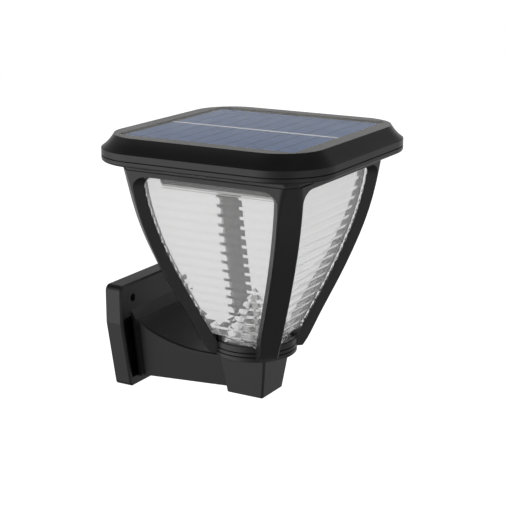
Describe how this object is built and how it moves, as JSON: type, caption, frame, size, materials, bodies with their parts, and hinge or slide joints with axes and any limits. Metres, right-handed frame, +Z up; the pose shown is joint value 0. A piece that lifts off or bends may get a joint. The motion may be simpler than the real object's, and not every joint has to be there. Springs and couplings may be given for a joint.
{
  "type": "solar wall light",
  "caption": "Solar wall light with a square solar cap, a clear ribbed lantern between curved tapering posts, and a bracket arm that hangs on a wall plate.",
  "frame": {"origin": "middle of the wall plate's back face, on the wall", "axes": "+Y into the wall, so the lantern stands towards -Y; +Z up; +X to the right seen from the front"},
  "size_m": [0.16, 0.1675, 0.178],
  "materials": {
    "black_plastic": "fine moulded texture, satin",
    "solar_cell": "dark blue silicon, glossy",
    "tinned_ribbon": "tinned copper ribbon",
    "panel_clear": "clear, polished",
    "board_dark": "matte laminate",
    "board_green": "solder mask",
    "board_white": "white solder mask",
    "led_yellow": "phosphor",
    "lens_clear": "clear moulded polycarbonate with cross ribs",
    "reflector_bright": "bright metallised plastic",
    "seal_rubber": "matte",
    "button_rubber": "matte",
    "steel": "zinc plated",
    "battery_wrap": "shrink wrap",
    "lead_red": "insulation"
  },
  "bodies": {
    "plate": {"wall_plate": "black_plastic"},
    "lamp": {"cap_cover": "black_plastic", "panel_board": "board_dark", "panel_cells": "solar_cell", "panel_bus": "tinned_ribbon", "panel_glass": "panel_clear", "cap_seal": "seal_rubber", "cap_tray": "black_plastic", "lantern_frame": "black_plastic", "lens": "lens_clear", "lens_seal": "seal_rubber", "light_cone": "reflector_bright", "bracket_arm": "black_plastic", "button_spring": "steel", "switch_body": "board_dark", "control_board": "board_green", "board_parts": "board_dark", "board_screws": "steel", "battery": "battery_wrap", "battery_holder": "black_plastic", "battery_contacts": "steel", "led_board": "board_white", "leds": "led_yellow", "led_screws": "steel", "panel_leads": "lead_red", "battery_leads": "lead_red", "led_leads": "lead_red", "cap_screws": "steel", "frame_screws": "steel", "neck_screw": "steel"},
    "button": {"button_cap": "button_rubber"}
  },
  "joints": [
    {"name": "lamp_lift", "type": "slide", "parent": "plate", "child": "lamp", "axis": [0, 0, 1], "range_m": [0, 0.005]},
    {"name": "button_press", "type": "slide", "parent": "lamp", "child": "button", "axis": [0, 0, 1], "range_m": [0, 0.0015], "stiffness_N_per_m": 400, "springref_m": -0.001, "deforming": ["button_spring"]}
  ]
}
